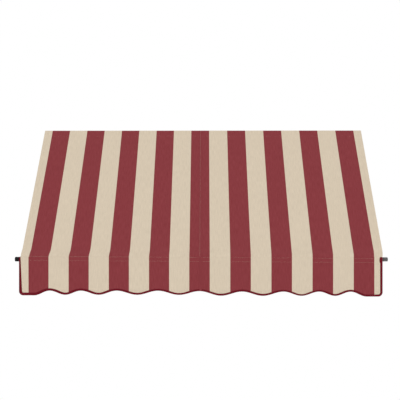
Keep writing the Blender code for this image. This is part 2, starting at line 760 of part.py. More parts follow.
def make_front_bar(parent):
    """The front rod and, in each end, a spigot, its washer and its end screw."""
    rod = tube_mesh("front_rod", ROD_RADIUS, ROD_WALL, ROD_LENGTH)
    shade_round(add("front_rod", rod, (0.0, *FRONT_AXIS), (0, 90, 0), BLACK_PAINT, parent))
    inside = ROD_RADIUS - ROD_WALL - GAP
    rod_end = ROD_LENGTH / 2
    shelf = BOSS_INNER + BOSS_WIDTH - COUNTERBORE_DEPTH
    washer_low = shelf + GAP
    washer_high = washer_low + WASHER
    journal_end = shelf
    hole_radius = END_SCREW_RADIUS + GAP
    for side, sign in SIDES:
        place = (0.0, *FRONT_AXIS)
        turn = (0, 90 * sign, 0)
        screw_floor = journal_end - END_SCREW_LENGTH - GAP
        profile = [
            (0, screw_floor),
            (hole_radius, screw_floor),
            (hole_radius, journal_end),
            (JOURNAL_RADIUS, journal_end),
            (JOURNAL_RADIUS, rod_end),
            (inside, rod_end),
            (inside, rod_end - SPIGOT_LENGTH),
            (0, rod_end - SPIGOT_LENGTH),
        ]
        spigot = turned_mesh("front_spigot", profile)
        shade_round(add(f"front_spigot_{side}", spigot, place, turn, BLACK_PAINT, parent))
        ring = [
            (WASHER_RADIUS, washer_high),
            (WASHER_RADIUS, washer_low),
            (hole_radius, washer_low),
            (hole_radius, washer_high),
        ]
        washer = turned_mesh("front_washer", ring, closed=True)
        shade_round(add(f"front_washer_{side}", washer, place, turn, ZINC, parent))
        shank = END_SCREW_LENGTH + washer_high - journal_end
        head_low = washer_high + GAP
        screw = [
            (0, head_low + END_SCREW_HEAD),
            (END_SCREW_HEAD_RADIUS * DOME[0], head_low + END_SCREW_HEAD),
            (END_SCREW_HEAD_RADIUS, head_low + END_SCREW_HEAD * DOME[1]),
            (END_SCREW_HEAD_RADIUS, head_low),
            (END_SCREW_RADIUS, head_low),
            (END_SCREW_RADIUS, head_low - shank),
            (0, head_low - shank),
        ]
        mesh = turned_mesh("front_end_screw", screw, steps=SMALL_STEPS)
        shade_round(add(f"front_end_screw_{side}", mesh, place, turn, ZINC, parent))


make_cover()
make_head_rod()
make_head_clips()
left_pivot = pivot("left_arm_pivot", (-ARM_X, -PIN_STANDOFF, FRONT_AXIS[1]))
right_pivot = pivot("right_arm_pivot", (ARM_X, -PIN_STANDOFF, FRONT_AXIS[1]))
bar_pivot = pivot("front_bar_pivot", (0.0, *FRONT_AXIS), left_pivot)
for side_name, side_sign in SIDES:
    make_wall_bracket(side_name, side_sign)
    make_arm(side_name, side_sign, left_pivot if side_sign < 0 else right_pivot)
make_front_bar(bar_pivot)
make_valance(bar_pivot)
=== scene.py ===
"""The looks of the window awning: striped canvas, bound valance, stitching, paint and light."""

import json
import math

import bpy
import numpy as np
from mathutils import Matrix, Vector


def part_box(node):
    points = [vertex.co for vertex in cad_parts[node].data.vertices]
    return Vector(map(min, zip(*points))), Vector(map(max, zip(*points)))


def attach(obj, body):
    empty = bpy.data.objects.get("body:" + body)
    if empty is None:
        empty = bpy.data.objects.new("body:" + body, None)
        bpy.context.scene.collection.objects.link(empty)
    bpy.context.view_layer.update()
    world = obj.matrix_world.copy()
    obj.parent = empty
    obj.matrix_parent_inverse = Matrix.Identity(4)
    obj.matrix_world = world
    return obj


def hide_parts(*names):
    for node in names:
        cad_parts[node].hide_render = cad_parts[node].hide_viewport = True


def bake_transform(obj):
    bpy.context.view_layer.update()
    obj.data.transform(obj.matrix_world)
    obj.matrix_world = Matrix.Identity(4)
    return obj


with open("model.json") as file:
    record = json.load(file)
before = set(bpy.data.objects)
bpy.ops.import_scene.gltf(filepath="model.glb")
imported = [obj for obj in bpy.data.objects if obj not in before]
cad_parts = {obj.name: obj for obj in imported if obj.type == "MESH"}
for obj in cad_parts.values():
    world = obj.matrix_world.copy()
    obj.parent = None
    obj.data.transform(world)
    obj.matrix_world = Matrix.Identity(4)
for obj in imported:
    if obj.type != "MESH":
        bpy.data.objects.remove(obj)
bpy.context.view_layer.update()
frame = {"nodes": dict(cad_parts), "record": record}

# Places taken from the frame
ROD_MARGIN = 0.004  # the front rod reaches this far past each side of the cover
LEFT_OUT = 0.0013  # the tape's fold draws the valance's left side out by this much
HALF_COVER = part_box("front_rod")[1].x - ROD_MARGIN
VALANCE_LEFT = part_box("valance")[0].x - LEFT_OUT
VALANCE_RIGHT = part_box("valance")[1].x
VALANCE_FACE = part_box("valance")[0].y
VALANCE_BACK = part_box("valance")[1].y


def middle(node):
    """The middle of a node's box, as (y, z)."""
    low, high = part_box(node)
    return ((low.y + high.y) / 2, (low.z + high.z) / 2)


HEAD = middle("head_rod")
FRONT = middle("front_rod")
ROD_RADIUS = (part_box("front_rod")[1].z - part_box("front_rod")[0].z) / 2

# Cloth, in metres
CLOTH = 0.0009
SHARP = 50.0  # degrees: an edge that turns more is shaded crisp
LAYER = 0.0010  # from one layer's middle to the next one's
SLEEVE_RADIUS = ROD_RADIUS + 0.0008
SEAM_FROM_HEAD = 0.045
SEAM_ALLOWANCE = 0.010
SLEEVE_STITCH = 0.0145
TAIL_STEP = 0.005  # between points along the cloth, in the hidden seam allowances
FINE_STEP = 0.01
SLOPE_STEP = 0.02
ARC_STEP = 6.0  # degrees
ACROSS_STEP = 0.02  # between points across the cloth
HEM_ACROSS_STEP = 0.012
LAP_ACROSS_STEP = 0.007
LIP = ((0.0626, 0.083), (0.039, 0.054), (0.012, 0.032), (0.0031, 0.0210))  # behind face, above rod
LIP_STEPS = 5  # points between two of the lip's places
GUIDE_ABOVE = 0.150  # above the front rod, on the slope: the lip's curve starts from its direction
SPLIT_AT = 2  # the lip's place where the cover's two pieces meet
SIDE_HEM = 0.024
LAP = 0.014  # width of the centre seam's overlap
SEAM_X = -0.0028
HEM_STITCH = 0.0025  # from a hem's or lap's edge
CLIPS = (-0.900, 0.0, 0.900)
NOTCH_HALF = 0.021
NOTCH = (-0.056, 0.0112)  # heights from the head rod's axis
NOTCH_CLEAR = 0.004  # no other place across the cover comes closer to a notch's side
RIPPLE = 0.0005
RIPPLE_WAVES = ((2.3, 0.7, 1.0), (5.1, 2.0, 0.6))  # radians a metre, phase, share

# Lean of the slope to the right, as shares of the distance from the middle
LEAN_FROM = 0.016  # above the front rod's axis
LEAN_FULL = 0.054
LEAN = (0.0050, 0.0085)  # at the front rod and at the head rod
TUCK = {-1: 0.0060, 1: 0.0030}  # how far the lip's sides are drawn in under the tape
TUCK_FROM = 0.048  # above the front rod's axis
TUCK_FULL = 0.024
TUCK_REACH = 0.100  # from the side

# Stripes and weave
LEFT_STRIPE = 0.1212
RIGHT_STRIPE = 0.1236
CENTRE_STRIPE = (-0.0705, 0.0528)
STRIPE_EDGE = 45.0  # how sharp the change of colour is
YARN = 0.00085
WARP = (900.0, 14.0, 1.0)  # noise cells a metre, across and along
WEFT = (14.0, 900.0, 1.0)
STREAK = (190.0, 22.0, 1.0)  # lighter and darker runs of yarn
STREAK_GAIN = 0.8

# Valance
TOP_STITCH = 0.0125  # above the front rod's axis, in the middle
BOTTOM_STITCH = -0.0117
STITCH_SKEW = -0.0058  # the stitch lines fall to the right, metres per metre
VALANCE_TOP = 0.0150
HEM_LOW = 0.2147
HEM_CENTRE = -0.006
HEM_WAVE = 0.0250
HEM_STEP = 0.0050
END_LOBE_DROP = 0.0040
END_LOBE_HALF = 0.095
LOBES = (0.253, 0.250, 0.215, 0.188)
CORNER_RADIUS = 0.025
CORNER_STEPS = 8
VALANCE_STEP = 0.01  # between points across the valance
VALANCE_ROWS = 26
LAP_SHORT = 0.001  # the lap ends this far above the valance's edge
SWAY_FROM = 0.03  # below the front rod's axis, where the hanging cloth leaves its plane
SWAY_DEPTH = 0.2
SWAY = (0.0016, 11.0, 0.5)  # size, radians a metre, phase
SWAY_FINE = (0.0008, 29.0)
LEFT_TAPE = (0.0155, 0.0178)  # at the top and at the bottom corner
RIGHT_TAPE = 0.0136
HEM_TAPE = (  # the tape's width along the hem, which was turned under unevenly by hand
    (-1.06, 0.0160), (-0.85, 0.0122), (-0.40, 0.0110), (-0.12, 0.0101), (0.20, 0.0116),
    (0.33, 0.0116), (0.60, 0.0086), (0.86, 0.0107), (1.06, 0.0116)
)
TAPE = 0.0005
RIB = 0.0007  # from one rib of the tape to the next
TWILL = 0.0011
TAPE_OFF = 0.6  # how far the tape's middle lies off the cloth, as a share of its thickness
TAPE_FOLD = ((-0.0004, 1.0), (0.0004, 0.7), (0.0007, 0.0))  # out past the edge, share of lift
TAPE_STEP = 0.004  # between points down the valance's sides
TAPE_STITCH = 0.0018
TAPE_END = 0.036  # the turned-in ends at the valance's top corners
TAPE_BULGE = 0.0045  # how much wider the right one is
TAPE_NARROW = 0.55  # the left one's width at its top, as a share
SIDE_FROM, SIDE_FULL = 0.2, 0.8  # how far the edge faces sideways where the side's width starts

# Thread
STITCH_LENGTH = 0.0038
STITCH_PITCH = 0.0042
THREAD_RADIUS = 0.00021
PLY = 0.0004  # from one turn of the thread's strands to the next
THREAD_SIDES, THREAD_RINGS = 6, 5
THREAD_RISE = (0.9, 1.5)  # above the cloth in the middle, fall to the ends, in radii
THREAD_TAPER = 0.45
THREAD_LAY = (0.0003, 0.0002)  # from one side to the next, across and along, for the twist
POCKET_SUNK = 0.0003  # how deep the head pocket's stitches are drawn into the cloth
SLEEVE_SUNK = 0.00015  # the same for the rows that close the front rod's sleeve

# Photograph
PHOTO_SIZE = 400
SENSOR = 36.0
FOCAL_PX = 668.0
HORIZON_Y = 200.0
CENTRE_X = 204.3  # where lines running away from the camera meet
CAMERA_BACK = 4.02  # in front of the valance
CAMERA_UP = 0.358  # above the front rod's axis
CAMERA_RIGHT = 0.020

# Studio
FLOOR_Z = -5.0
FLOOR_SIZE = 60.0
FLOOR_WHITE = 0.97
WORLD = 0.955
GLOSS_STRENGTH = 3.8
GLOSS = (  # the surround in reflections: direction from left to right, share of the strength
    (-1.0, 0.12), (-0.4, 0.01), (0.0, 0.05), (0.26, 1.0), (0.5, 0.4), (1.0, 0.12)
)
LAMP_PLACE = (-0.5, -6.0, 1.2)
LAMP_SIZE = (3.0, 2.0)
LAMP_POWER = 24.0


def srgb(red, green, blue):
    """A colour given as 8-bit screen values, in the linear values that shaders use."""
    out = []
    for value in (red, green, blue):
        share = value / 255.0
        out.append(share / 12.92 if share <= 0.04045 else ((share + 0.055) / 1.055) ** 2.4)
    return (*out, 1.0)


BURGUNDY = (srgb(121, 42, 47), srgb(145, 66, 71))  # the darkest and the lightest yarns
CREAM = (srgb(200, 185, 163), srgb(224, 209, 187))
TAPE_RED = srgb(106, 14, 28)
PALE_THREAD = srgb(214, 199, 177)
RED_THREAD = srgb(104, 26, 34)


class Nodes:
    """Short calls that build a material's node tree."""

    def __init__(self, name):
        self.material = bpy.data.materials.new(name)
        self.material.use_nodes = True
        self.tree = self.material.node_tree
        self.shader = self.tree.nodes["Principled BSDF"]

    def link(self, source, target):
        """Give a socket a number or another socket's output."""
        if isinstance(source, (int, float)):
            target.default_value = source
        else:
            self.tree.links.new(source, target)

    def math(self, operation, *values):
        node = self.tree.nodes.new("ShaderNodeMath")
        node.operation = operation
        for value, socket in zip(values, node.inputs):
            self.link(value, socket)
        return node.outputs[0]

    def mix(self, share, first, second, blend="MIX"):
        node = self.tree.nodes.new("ShaderNodeMix")
        node.data_type = "RGBA"
        node.blend_type = blend
        self.link(share, node.inputs[0])
        for value, socket in ((first, node.inputs[6]), (second, node.inputs[7])):
            if isinstance(value, tuple):
                socket.default_value = value
            else:
                self.link(value, socket)
        return node.outputs[2]

    def noise(self, vector, scale, detail, stretch=(1.0, 1.0, 1.0)):
        """Noise from 0 to 1, with about scale cells in a metre, times stretch in each direction."""
        mapping = self.tree.nodes.new("ShaderNodeMapping")
        mapping.inputs["Scale"].default_value = stretch
        self.link(vector, mapping.inputs["Vector"])
        node = self.tree.nodes.new("ShaderNodeTexNoise")
        node.inputs["Scale"].default_value = scale
        node.inputs["Detail"].default_value = detail
        self.link(mapping.outputs[0], node.inputs["Vector"])
        return node.outputs["Fac"]

    def cloth_coordinates(self):
        """Across and along the cloth, in metres, from the mesh's own attribute."""
        node = self.tree.nodes.new("ShaderNodeAttribute")
        node.attribute_name = "cloth"
        split = self.tree.nodes.new("ShaderNodeSeparateXYZ")
        self.link(node.outputs["Vector"], split.inputs[0])
        return node.outputs["Vector"], split.outputs[0], split.outputs[1]

    def object_coordinates(self):
        return self.tree.nodes.new("ShaderNodeTexCoord").outputs["Object"]

    def bump(self, height, strength, distance):
        """Relief of a depth in metres from a height between 0 and 1."""
        node = self.tree.nodes.new("ShaderNodeBump")
        node.inputs["Strength"].default_value = strength
        node.inputs["Distance"].default_value = distance
        self.link(height, node.inputs["Height"])
        self.link(node.outputs[0], self.shader.inputs["Normal"])

    def scaled(self, value, gain, offset):
        return self.math("MULTIPLY_ADD", value, gain, offset)

    def vary(self, shade, value, middle, amount):
        """The shade, raised or lowered as a value strays from its middle."""
        return self.math("MULTIPLY_ADD", self.math("SUBTRACT", value, middle), amount, shade)

    def paint(self, colour, shade):
        """A colour times a shade around 1, as the base colour."""
        grey = self.tree.nodes.new("ShaderNodeCombineColor")
        for socket in grey.inputs[:3]:
            self.link(shade, socket)
        painted = self.mix(1.0, colour, grey.outputs[0], "MULTIPLY")
        self.link(painted, self.shader.inputs["Base Color"])

    def constant(self, **values):
        """Plain values for the shader's inputs, by name."""
        for name, value in values.items():
            self.shader.inputs[name.replace("_", " ")].default_value = value


def weave(nodes, across, along, pitch):
    """Height of a plain weave: yarns pass over and under each other, from 0 to 1."""
    u = nodes.math("DIVIDE", across, pitch)
    v = nodes.math("DIVIDE", along, pitch)
    over = nodes.math("ABSOLUTE", nodes.math("SINE", nodes.math("MULTIPLY", u, math.pi)))
    under = nodes.math("ABSOLUTE", nodes.math("SINE", nodes.math("MULTIPLY", v, math.pi)))
    squares = nodes.math("ADD", nodes.math("FLOOR", u), nodes.math("FLOOR", v))
    which = nodes.math("FLOORED_MODULO", squares, 2.0)
    rest = nodes.math("SUBTRACT", 1.0, which)
    return nodes.math(
        "ADD", nodes.math("MULTIPLY", over, which), nodes.math("MULTIPLY", under, rest)
    )


def canvas_material():
    """Woven canvas in burgundy and cream stripes, wider ones on the right cloth width."""
    nodes = Nodes("striped_canvas")
    vector, across, along = nodes.cloth_coordinates()
    left = nodes.math("DIVIDE", nodes.math("SUBTRACT", CENTRE_STRIPE[0], across), LEFT_STRIPE)
    right = nodes.math("DIVIDE", nodes.math("SUBTRACT", across, CENTRE_STRIPE[1]), RIGHT_STRIPE)
    count = nodes.math("MAXIMUM", left, right)
    wave = nodes.math("SINE", nodes.math("MULTIPLY", count, math.pi))
    edge = nodes.scaled(wave, STRIPE_EDGE, offset=0.5)
    stripe = nodes.math("MINIMUM", nodes.math("MAXIMUM", edge, 0.0), 1.0)
    streak = nodes.math("SUBTRACT", nodes.noise(vector, scale=1.0, detail=1.0, stretch=STREAK), 0.5)
    light = nodes.scaled(streak, STREAK_GAIN, offset=0.5)
    colour = nodes.mix(stripe, nodes.mix(light, *BURGUNDY), nodes.mix(light, *CREAM))

    height = weave(nodes, across, along, YARN)
    warp = nodes.noise(vector, scale=1.0, detail=2.0, stretch=WARP)
    weft = nodes.noise(vector, scale=1.0, detail=2.0, stretch=WEFT)
    cloud = nodes.noise(vector, scale=5.0, detail=3.0)
    shade = nodes.scaled(nodes.math("ADD", warp, weft), gain=0.06, offset=0.94)
    shade = nodes.vary(shade, cloud, middle=0.5, amount=0.05)
    # Painted shade between the yarns: the colour is darker where the weave dips and lighter on its
    # crowns
    shade = nodes.vary(shade, height, middle=0.6, amount=0.08)
    nodes.paint(colour, shade)
    slub = nodes.math("MULTIPLY_ADD", nodes.math("ADD", warp, weft), 0.5, height)
    nodes.bump(slub, strength=0.35, distance=0.00025)
    nodes.constant(
        Roughness=0.9, Specular_IOR_Level=0.15, Sheen_Weight=0.02, Sheen_Roughness=0.5
    )
    return nodes.material


def tape_material():
    """Ribbed burgundy braid."""
    nodes = Nodes("burgundy_tape")
    vector, across, along = nodes.cloth_coordinates()
    ribs = nodes.math("SINE", nodes.math("MULTIPLY", along, math.pi / RIB))
    twill = nodes.math("ADD", across, along)
    twill = nodes.math("SINE", nodes.math("MULTIPLY", twill, math.pi / TWILL))
    height = nodes.math("ADD", nodes.math("ABSOLUTE", ribs), nodes.math("ABSOLUTE", twill))
    fuzz = nodes.noise(vector, scale=500.0, detail=2.0)
    # Painted shade in the braid's grooves: the colour is darker where the ribs and twill dip; the
    # fuzz is the yarn's own uneven tone
    shade = nodes.scaled(height, gain=0.10, offset=0.86)
    nodes.paint(TAPE_RED, nodes.vary(shade, fuzz, middle=0.5, amount=0.12))
    nodes.bump(height, strength=0.5, distance=0.0003)
    nodes.constant(Roughness=0.85, Specular_IOR_Level=0.15)
    return nodes.material


def thread_material(name, colour):
    """Twisted sewing thread."""
    nodes = Nodes(name)
    along = nodes.cloth_coordinates()[2]
    twist = nodes.math("SINE", nodes.math("MULTIPLY", along, math.pi / PLY))
    # Painted shade along the twist: the colour darkens and lightens with the turns of the strands
    nodes.paint(colour, nodes.scaled(twist, gain=0.06, offset=0.96))
    nodes.bump(twist, strength=0.3, distance=0.0001)
    nodes.constant(Roughness=0.6, Specular_IOR_Level=0.4)
    return nodes.material


def paint_material():
    """Satin black enamel with a faint orange-peel surface."""
    nodes = Nodes("satin_black")
    place = nodes.object_coordinates()
    peel = nodes.noise(place, scale=400.0, detail=1.0)
    dust = nodes.noise(place, scale=35.0, detail=2.0)
    nodes.link(nodes.mix(dust, srgb(20, 18, 19), srgb(30, 28, 29)),
               nodes.shader.inputs["Base Color"])
    nodes.link(nodes.scaled(dust, gain=0.12, offset=0.20), nodes.shader.inputs["Roughness"])
    nodes.bump(peel, strength=0.04, distance=0.0002)
    nodes.constant(Specular_IOR_Level=0.5)
    return nodes.material


def zinc_material():
    """Zinc plated steel with a fine grain."""
    nodes = Nodes("zinc")
    place = nodes.object_coordinates()
    grain = nodes.noise(place, scale=900.0, detail=3.0)
    cloud = nodes.noise(place, scale=120.0, detail=3.0)
    nodes.link(nodes.mix(cloud, srgb(176, 178, 180), srgb(206, 206, 202)),
               nodes.shader.inputs["Base Color"])
    nodes.link(nodes.scaled(grain, gain=0.2, offset=0.25), nodes.shader.inputs["Roughness"])
    nodes.bump(grain, strength=0.1, distance=0.0002)
    nodes.constant(Metallic=1.0)
    return nodes.material


def plastic_material():
    """Moulded black plastic."""
    nodes = Nodes("moulded_black")
    place = nodes.object_coordinates()
    grain = nodes.noise(place, scale=1500.0, detail=2.0)
    nodes.link(nodes.mix(grain, srgb(34, 34, 35), srgb(46, 46, 47)),
               nodes.shader.inputs["Base Color"])
    nodes.link(nodes.scaled(grain, gain=0.15, offset=0.42), nodes.shader.inputs["Roughness"])
    nodes.bump(grain, strength=0.2, distance=0.0002)
    return nodes.material


MATERIALS = {
    "striped_canvas": canvas_material(),
    "burgundy_tape": tape_material(),
    "black_paint": paint_material(),
    "zinc_plate": zinc_material(),
    "black_plastic": plastic_material(),
}
PALE = thread_material("pale_thread", PALE_THREAD)
RED = thread_material("red_thread", RED_THREAD)


def dress_cad_nodes():
    """Give every CAD node the full material of its slot."""
    for row in frame["record"]["subparts"]:
        node = frame["nodes"][row["node"]]
        node.data.materials.clear()
        node.data.materials.append(MATERIALS[row["material_slot"]])


def new_piece(name, points, faces, cloth, material):
    """A mesh object with its cloth coordinates as an attribute."""
    mesh = bpy.data.meshes.new(name)
    mesh.from_pydata([tuple(p) for p in points], [], faces)
    attribute = mesh.attributes.new("cloth", "FLOAT_VECTOR", "POINT")
    flat = np.zeros((len(points), 3), np.float32)
    flat[:, :2] = np.array(cloth, np.float32)
    attribute.data.foreach_set("vector", flat.ravel())
    mesh.materials.append(material)
    mesh.shade_smooth()
    obj = bpy.data.objects.new(name, mesh)
    bpy.context.scene.collection.objects.link(obj)
    return obj


class Sheet:
    """Grids of points that become one mesh."""

    def __init__(self):
        self.points, self.faces, self.cloth = [], [], []

    def grid(self, rows):
        """rows is a list of rows of (point, cloth coordinates)."""
        start = len(self.points)
        width = len(rows[0])
        for row in rows:
            for point, cloth in row:
                self.points.append(point)
                self.cloth.append(cloth)
        for j in range(len(rows) - 1):
            for i in range(width - 1):
                a = start + j * width + i
                self.faces.append((a, a + 1, a + width + 1, a + width))

    def piece(self, name, material, thickness=CLOTH):
        """The grids as cloth of a real thickness, with crisp cut edges."""
        obj = new_piece(name, self.points, self.faces, self.cloth, material)
        thicken = obj.modifiers.new("Thickness", "SOLIDIFY")
        thicken.thickness = thickness
        thicken.offset = 0.0
        bpy.context.view_layer.update()
        shown = obj.evaluated_get(bpy.context.evaluated_depsgraph_get())
        thick = bpy.data.meshes.new_from_object(shown)
        obj.modifiers.clear()
        obj.data = thick
        thick.name = name
        thick.set_sharp_from_angle(angle=math.radians(SHARP))
        return obj


def arc(centre, radius, start, end, step):
    """Points of an arc between two angles in degrees."""
    count = max(2, round(abs(end - start) / step))
    angles = [math.radians(start + (end - start) * i / count) for i in range(count + 1)]
    return [(centre[0] + radius * math.cos(a), centre[1] + radius * math.sin(a)) for a in angles]


def tangent_angle(centre, radius, point, side):
    """Angle, in degrees, at which a line from a point touches a circle."""
    dy, dz = point[0] - centre[0], point[1] - centre[1]
    return math.degrees(math.atan2(dz, dy) + side * math.acos(radius / math.hypot(dy, dz)))


def straight(start, end, step):
    """Points from start to end, without the first."""
    count = max(1, round(math.dist(start, end) / step))
    return [
        (start[0] + (end[0] - start[0]) * i / count, start[1] + (end[1] - start[1]) * i / count)
        for i in range(1, count + 1)
    ]


def smooth_through(points, steps):
    """A Catmull-Rom curve from the second point to the last but one, without the first."""
    out = []
    for i in range(1, len(points) - 2):
        p = [np.array(points[i + k]) for k in (-1, 0, 1, 2)]
        for s in range(1, steps + 1):
            t = s / steps
            out.append(tuple(
                0.5 * (2 * p[1] + (p[2] - p[0]) * t
                       + (2 * p[0] - 5 * p[1] + 4 * p[2] - p[3]) * t * t
                       + (3 * p[1] - p[0] - 3 * p[2] + p[3]) * t ** 3)
            ))
    return out


def cover_paths():
    """The cover's section in two runs of (y, z) points, and where the slope starts and is split.

    The first is the head pocket, the slope and the lip down to the valance's top edge, and the
    second wraps the front rod."""
    lip = [(VALANCE_FACE + behind, FRONT[1] + above) for behind, above in LIP]
    leave = tangent_angle(HEAD, SLEEVE_RADIUS, lip[0], -1) % 360.0
    away = math.radians(leave)
    normal = (math.cos(away), math.sin(away))
    along = (-normal[1], normal[0])

    def below(distance, depth):
        out = SLEEVE_RADIUS - depth
        return (
            HEAD[0] + normal[0] * out + along[0] * distance,
            HEAD[1] + normal[1] * out + along[1] * distance,
        )

    seam = below(SEAM_FROM_HEAD, LAYER)
    tail = below(SEAM_FROM_HEAD + SEAM_ALLOWANCE, LAYER)
    meet = tangent_angle(HEAD, SLEEVE_RADIUS, seam, 1)
    while meet > leave:
        meet -= 360.0
    pocket = arc(HEAD, SLEEVE_RADIUS, meet, leave, ARC_STEP)
    top = pocket[-1]
    drop = (FRONT[1] + GUIDE_ABOVE - top[1]) / (lip[0][1] - top[1])
    guide = (top[0] + (lip[0][0] - top[0]) * drop, FRONT[1] + GUIDE_ABOVE)
    cover = [tail] + straight(tail, seam, TAIL_STEP)
    cover += straight(seam, pocket[0], FINE_STEP)[:-1] + pocket
    slope_from = len(cover) - 1
    cover += straight(top, guide, SLOPE_STEP) + straight(guide, lip[0], FINE_STEP)
    split_at = len(cover) - 1 + SPLIT_AT * LIP_STEPS

    valance_y = (VALANCE_FACE + VALANCE_BACK) / 2
    meet_valance = (valance_y, FRONT[1] + VALANCE_TOP)
    cover += smooth_through([guide] + lip + [meet_valance, (valance_y, FRONT[1])], LIP_STEPS)

    front_y = FRONT[0] - SLEEVE_RADIUS
    stitch_top = (front_y, FRONT[1] + SLEEVE_STITCH)
    stitch_bottom = (front_y, FRONT[1] - SLEEVE_STITCH)
    over = tangent_angle(FRONT, SLEEVE_RADIUS, stitch_top, -1)
    under = tangent_angle(FRONT, SLEEVE_RADIUS, stitch_bottom, 1)
    sleeve = [stitch_top] + arc(FRONT, SLEEVE_RADIUS, over, under, ARC_STEP) + [stitch_bottom]
    sleeve += straight(stitch_bottom, (front_y, stitch_bottom[1] - SEAM_ALLOWANCE), TAIL_STEP)
    return cover, sleeve, slope_from, split_at


def part_way(value, start, end):
    """How far a value is on its way from start to end, kept from 0 to 1."""
    return min(1.0, max(0.0, (value - start) / (end - start)))


def ripple(x, z):
    """How far the taut slope strays from flat: a very slight fullness between the rods."""
    wave = sum(share * math.sin(turns * x + phase) for turns, phase, share in RIPPLE_WAVES)
    return RIPPLE * wave * math.sin(math.pi * part_way(z, HEAD[1], FRONT[1]))


def leaned(x, z):
    """Where a place across the cover comes.

    Above the front rod it was sewn out of square, and the lip's sides are drawn in."""
    above = z - FRONT[1]
    height = part_way(above, 0.0, HEAD[1] - FRONT[1])
    lean = LEAN[0] + (LEAN[1] - LEAN[0]) * height
    place = x + abs(x) * part_way(above, LEAN_FROM, LEAN_FULL) * lean
    side = 1 if x > 0 else -1
    drawn = part_way(above, TUCK_FROM, TUCK_FULL)
    drawn *= part_way(abs(x), HALF_COVER - TUCK_REACH, HALF_COVER)
    return place - side * TUCK[side] * drawn


def places(low, high, step):
    """Evenly spaced places, both ends included."""
    return list(np.linspace(low, high, max(2, round((high - low) / step) + 1)))


class Section:
    """A run of the cover's section: points (y, z), length along the cloth and normals."""

    def __init__(self, path, start=0.0):
        self.path = path
        points = np.array(path)
        steps = np.linalg.norm(np.diff(points, axis=0), axis=1)
        self.length = start + np.concatenate([[0.0], np.cumsum(steps)])
        ahead = np.vstack([points[1:], points[-1:]]) - np.vstack([points[:1], points[:-1]])
        ahead /= np.linalg.norm(ahead, axis=1)[:, None]
        self.normal = np.stack([ahead[:, 1], -ahead[:, 0]], axis=1)

    def surface(self, x, index, lift=0.0):
        """A point lifted off the cloth's middle surface, with the slope's ripple and lean."""
        y, z = self.path[index]
        out = lift + ripple(x, z)
        return (leaned(x, z), y + self.normal[index][0] * out, z + self.normal[index][1] * out)

    def strip(self, sheet, xs, low=0, high=None, lift=0.0):
        """A strip of cloth that follows part of the section between two sides."""
        high = len(self.path) - 1 if high is None else high
        sheet.grid([
            [(self.surface(x, i, lift), (x, self.length[i])) for x in xs]
            for i in range(low, high + 1)
        ])

    def at(self, x, s, lift=0.0):
        """A point at a length along the cloth, its direction along it and its normal."""
        i = int(np.clip(np.searchsorted(self.length, s) - 1, 0, len(self.path) - 2))
        t = (s - self.length[i]) / (self.length[i + 1] - self.length[i])
        a, b = (np.array(self.surface(x, k, lift)) for k in (i, i + 1))
        n = self.normal[i] * (1 - t) + self.normal[i + 1] * t
        return a + (b - a) * t, b - a, (0.0, *n)


def cut_notches(sheet):
    """Leave out the faces of the head pocket that the head clips take the place of."""
    kept = []
    for face in sheet.faces:
        x, y, z = np.mean([sheet.points[i] for i in face], axis=0)
        near = any(abs(x - clip) < NOTCH_HALF for clip in CLIPS)
        if near and y > HEAD[0] - ROD_RADIUS / 2 and NOTCH[0] < z - HEAD[1] < NOTCH[1]:
            continue
        kept.append(face)
    sheet.faces = kept


def thread_piece(name, stitches, material):
    """Stitches as one mesh; each is (point on the cloth, direction, normal)."""
    points, faces, cloth = [], [], []
    for centre, direction, normal in stitches:
        direction = np.array(direction) / np.linalg.norm(direction)
        side = np.cross(direction, normal)
        side /= np.linalg.norm(side)
        up = np.cross(side, direction)
        start = len(points)
        for j in range(THREAD_RINGS):
            t = j / (THREAD_RINGS - 1) * 2.0 - 1.0
            rise = THREAD_RADIUS * (THREAD_RISE[0] - THREAD_RISE[1] * t * t)
            wide = THREAD_RADIUS * (1.0 - THREAD_TAPER * t ** 4)
            ring_centre = centre + direction * (t * STITCH_LENGTH / 2) + up * rise
            for k in range(THREAD_SIDES):
                turn = 2 * math.pi * k / THREAD_SIDES
                out = side * math.cos(turn) + up * math.sin(turn)
                points.append(tuple(ring_centre + out * wide))
                cloth.append((k * THREAD_LAY[0], t * STITCH_LENGTH / 2 + k * THREAD_LAY[1]))
        for j in range(THREAD_RINGS - 1):
            ring = start + j * THREAD_SIDES
            for k in range(THREAD_SIDES):
                a, b = ring + k, ring + (k + 1) % THREAD_SIDES
                faces.append((a, b, b + THREAD_SIDES, a + THREAD_SIDES))
        last = start + (THREAD_RINGS - 1) * THREAD_SIDES
        faces.append(tuple(range(start, start + THREAD_SIDES))[::-1])
        faces.append(tuple(range(last, last + THREAD_SIDES)))
    return new_piece(name, points, faces, cloth, material)


def across_cover(section, s, lift):
    """Stitches from side to side at one length along the cover."""
    found = []
    for x in np.arange(STITCH_PITCH - HALF_COVER, HALF_COVER - STITCH_PITCH / 2, STITCH_PITCH):
        point, _, normal = section.at(x, s, lift)
        found.append((point, (1.0, 0.0, 0.0), normal))
    return found


def along_cover(section, x, low, high, lift):
    """Stitches down the cover at one place across it."""
    return [
        section.at(x, s, lift)
        for s in np.arange(low + STITCH_PITCH / 2, high, STITCH_PITCH)
    ]


def cover_places():
    """Places across the cover, with one at each side of a notch once the cloth has leaned."""
    leant = [clip + side * NOTCH_HALF for clip in CLIPS for side in (-1, 1)]
    cuts = [place / (1.0 + math.copysign(LEAN[1], place)) for place in leant]
    between = [
        x for x in places(-HALF_COVER, HALF_COVER, ACROSS_STEP)
        if min(abs(x - cut) for cut in cuts) > NOTCH_CLEAR
    ]
    return sorted(between + cuts)


